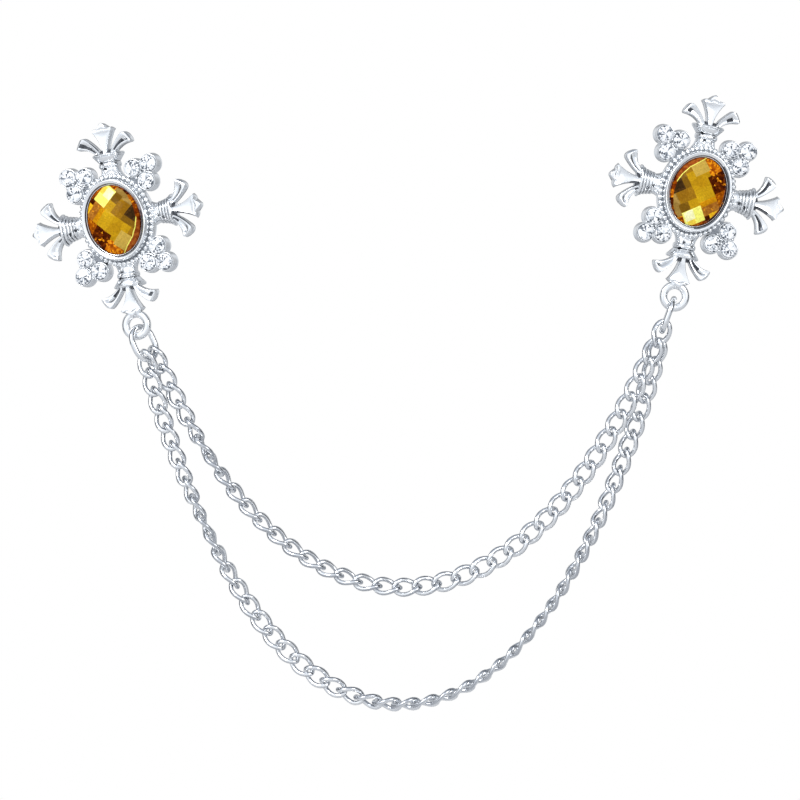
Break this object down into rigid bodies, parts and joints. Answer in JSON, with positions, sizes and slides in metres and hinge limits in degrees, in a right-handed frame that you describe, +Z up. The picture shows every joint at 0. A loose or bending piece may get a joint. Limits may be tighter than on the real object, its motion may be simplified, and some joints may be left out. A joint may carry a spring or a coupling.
{
  "type": "lapel chain",
  "caption": "Lapel chain: cross brooches with leafy arms, an oval amber checkerboard-cut stone and small clear stones, joined by a shorter and a longer hanging curb chain.",
  "frame": {"origin": "centre of the left brooch's flat back, on the axis of its tack post, where it lies on the lapel", "axes": "+X to the right across the two brooches as a viewer in front sees them, +Y to the back into the cloth, +Z up"},
  "size_m": [0.1017, 0.014, 0.0831],
  "materials": {
    "casting": "polished silver-tone plating",
    "amber_stone": "polished facets over a foiled back",
    "clear_stone": "polished facets over a foiled back",
    "pin_metal": "plain nickel plating",
    "chain_metal": "polished silver-tone plating"
  },
  "bodies": {
    "root": {"left_brooch": "casting", "right_brooch": "casting", "left_stone": "amber_stone", "right_stone": "amber_stone", "left_pin": "pin_metal", "right_pin": "pin_metal", "left_ring": "chain_metal", "right_ring": "chain_metal", "chain_short": "chain_metal", "chain_long": "chain_metal", "left_gem_1": "clear_stone", "left_gem_2": "clear_stone", "left_gem_3": "clear_stone", "left_gem_4": "clear_stone", "left_gem_5": "clear_stone", "left_gem_6": "clear_stone", "left_gem_7": "clear_stone", "left_gem_8": "clear_stone", "left_gem_9": "clear_stone", "left_gem_10": "clear_stone", "left_gem_11": "clear_stone", "left_gem_12": "clear_stone", "right_gem_1": "clear_stone", "right_gem_2": "clear_stone", "right_gem_3": "clear_stone", "right_gem_4": "clear_stone", "right_gem_5": "clear_stone", "right_gem_6": "clear_stone", "right_gem_7": "clear_stone", "right_gem_8": "clear_stone", "right_gem_9": "clear_stone", "right_gem_10": "clear_stone", "right_gem_11": "clear_stone", "right_gem_12": "clear_stone"}
  },
  "joints": []
}
